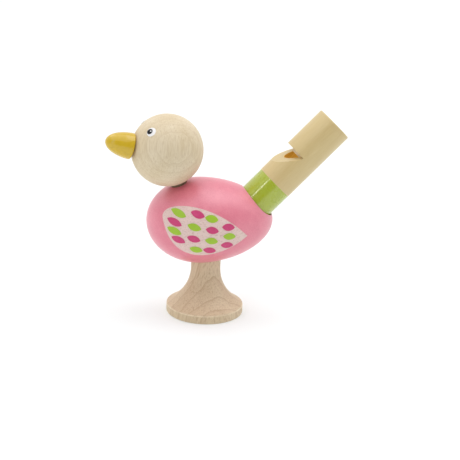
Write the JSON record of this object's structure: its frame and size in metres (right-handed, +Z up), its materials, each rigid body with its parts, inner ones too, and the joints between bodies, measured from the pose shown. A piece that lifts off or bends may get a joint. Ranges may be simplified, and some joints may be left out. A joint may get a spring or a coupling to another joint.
{
  "type": "bird call",
  "caption": "Wooden bird call shaped as a perched bird: painted egg body with printed wings, ball head, bullet beak and turned stand. The tail is a push-fit whistle tube.",
  "frame": {"origin": "centre of the stand's flat underside", "axes": "+Z up out of the stand, +X from the beak towards the tail, +Y to the bird's right side"},
  "size_m": [0.0758, 0.028, 0.0642],
  "materials": {
    "pink_paint": "satin paint on turned wood",
    "beech": "sanded bare beech",
    "yellow_lacquer": "gloss lacquer on turned wood",
    "tube_wood": "smooth satin wood",
    "dowel_wood": "plain dowel, unfinished",
    "green_lacquer": "gloss lacquer on turned wood",
    "wing_print": "matt print over the paint, wood grain shows",
    "spot_green": "matt print",
    "spot_magenta": "matt print",
    "eye_white": "gloss print",
    "eye_black": "gloss print"
  },
  "bodies": {
    "bird": {"body": "pink_paint", "stand": "beech", "head": "beech", "neck_dowel": "dowel_wood", "beak": "yellow_lacquer", "left_wing": "wing_print", "left_wing_green_spots": "spot_green", "left_wing_magenta_spots": "spot_magenta", "left_eye_white": "eye_white", "left_pupil": "eye_black", "left_eye_glint": "eye_white", "right_wing": "wing_print", "right_wing_green_spots": "spot_green", "right_wing_magenta_spots": "spot_magenta", "right_eye_white": "eye_white", "right_pupil": "eye_black", "right_eye_glint": "eye_white"},
    "whistle": {"whistle_tube": "tube_wood", "tail_band": "green_lacquer", "fipple_block": "dowel_wood", "tube_stopper": "dowel_wood"}
  },
  "joints": [
    {"name": "tail_slide", "type": "slide", "parent": "bird", "child": "whistle", "axis": [0.7071, 0, 0.7071], "range_m": [0, 0.014]}
  ]
}
